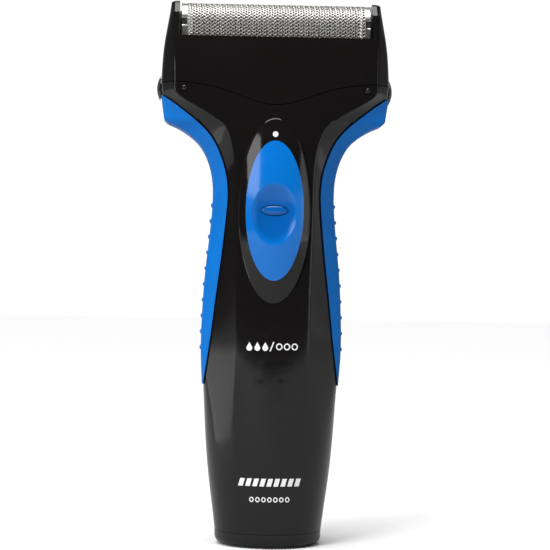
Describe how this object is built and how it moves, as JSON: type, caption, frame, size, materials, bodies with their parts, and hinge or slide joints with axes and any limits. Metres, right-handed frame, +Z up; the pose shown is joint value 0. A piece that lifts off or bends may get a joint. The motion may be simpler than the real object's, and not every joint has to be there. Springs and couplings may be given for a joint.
{
  "type": "electric shaver",
  "caption": "Compact upright foil shaver: wide chamfered head with arched foil, ribbed side grips, oval slide switch with lock, lift-off foil head and pull-off battery cap.",
  "frame": {"origin": "middle of the flat base, on the surface the shaver stands on", "axes": "+Z up the handle to the foil, the switch faces -Y, +X to the right seen from the front"},
  "size_m": [0.0686, 0.0348, 0.1576],
  "materials": {
    "black_gloss": "polished black ABS",
    "grip_blue": "satin blue elastomer",
    "knob_blue": "polished blue ABS",
    "foil_steel": "bright foil",
    "blade_steel": "ground edges",
    "black_matte": "fine texture",
    "natural_plastic": "natural acetal",
    "nickel": "nickel plated",
    "motor_steel": "zinc plated",
    "spring_steel": "drawn wire",
    "brass": "machined",
    "copper": "enamelled winding",
    "magnet": "ferrite",
    "seal_rubber": "matt",
    "seal_silicone": "matt silicone",
    "cell_sleeve": "satin shrink sleeve"
  },
  "bodies": {
    "housing": {"front_case": "black_gloss", "rear_case": "black_gloss", "left_grip": "grip_blue", "right_grip": "grip_blue", "switch_bezel": "black_gloss", "switch_seal": "seal_rubber", "fixing_pins": "black_gloss", "chassis": "black_matte", "battery_cells": "cell_sleeve", "top_contact_plate": "nickel", "top_contact_spring": "spring_steel", "supply_strip": "nickel", "motor_strip": "nickel", "return_strip": "nickel", "switch_contacts": "nickel", "motor_can": "motor_steel", "motor_end_cap": "natural_plastic", "motor_bearings": "brass", "motor_magnets": "magnet", "motor_brushes": "copper", "motor_terminals": "nickel", "motor_screws": "motor_steel", "guide_rails": "spring_steel", "head_base": "black_matte", "head_seal": "seal_silicone", "head_screws": "motor_steel"},
    "rotor": {"motor_shaft": "spring_steel", "rotor_core": "motor_steel", "rotor_coils": "copper", "commutator": "copper", "eccentric_cam": "natural_plastic"},
    "oscillator": {"oscillator_bridge": "natural_plastic", "drive_post": "spring_steel", "cutter_spring": "spring_steel"},
    "cutter": {"cutter_blades": "blade_steel", "cutter_carrier": "black_matte"},
    "foil_head": {"foil_frame": "black_gloss", "foil": "foil_steel", "foil_holder": "black_matte"},
    "left_release": {"left_release_button": "black_gloss", "left_release_spring": "spring_steel"},
    "right_release": {"right_release_button": "black_gloss", "right_release_spring": "spring_steel"},
    "power_switch": {"switch_knob": "knob_blue", "switch_carriage": "black_matte", "switch_wiper": "nickel"},
    "lock": {"lock_button": "knob_blue", "lock_spring": "spring_steel"},
    "cap": {"battery_cap": "black_gloss", "cap_seal": "seal_rubber", "cap_contact_carrier": "black_matte", "cap_contact_bridge": "nickel", "cap_contact_spring": "spring_steel"}
  },
  "joints": [
    {"name": "foil_head_lift", "type": "slide", "parent": "housing", "child": "foil_head", "axis": [0, 0, 1], "range_m": [0, 0.03]},
    {"name": "left_release_press", "type": "slide", "parent": "housing", "child": "left_release", "axis": [1, 0, 0], "range_m": [0, 0.0011], "stiffness_N_per_m": 1500, "springref_m": -0.0008, "deforming": ["left_release_spring"]},
    {"name": "right_release_press", "type": "slide", "parent": "housing", "child": "right_release", "axis": [-1, 0, 0], "range_m": [0, 0.0011], "stiffness_N_per_m": 1500, "springref_m": -0.0008, "deforming": ["right_release_spring"]},
    {"name": "rotor_spin", "type": "hinge", "parent": "housing", "child": "rotor", "pos_m": [0, 0, 0.09], "axis": [0, 0, 1], "continuous": true},
    {"name": "blade_stroke", "type": "slide", "parent": "housing", "child": "oscillator", "axis": [1, 0, 0], "range_m": [-0.0012, 0.0012]},
    {"name": "cutter_float", "type": "slide", "parent": "oscillator", "child": "cutter", "axis": [0, 0, 1], "range_m": [-0.0012, 0], "stiffness_N_per_m": 900, "springref_m": 0.0009, "deforming": ["cutter_spring"]},
    {"name": "power_slide", "type": "slide", "parent": "housing", "child": "power_switch", "axis": [0, 0, 1], "range_m": [0, 0.0035]},
    {"name": "lock_press", "type": "slide", "parent": "power_switch", "child": "lock", "axis": [0, 1, 0], "range_m": [0, 0.0008], "stiffness_N_per_m": 900, "springref_m": -0.0008, "deforming": ["lock_spring"]},
    {"name": "battery_cap_pull", "type": "slide", "parent": "housing", "child": "cap", "axis": [0, 0, -1], "range_m": [0, 0.015]}
  ]
}
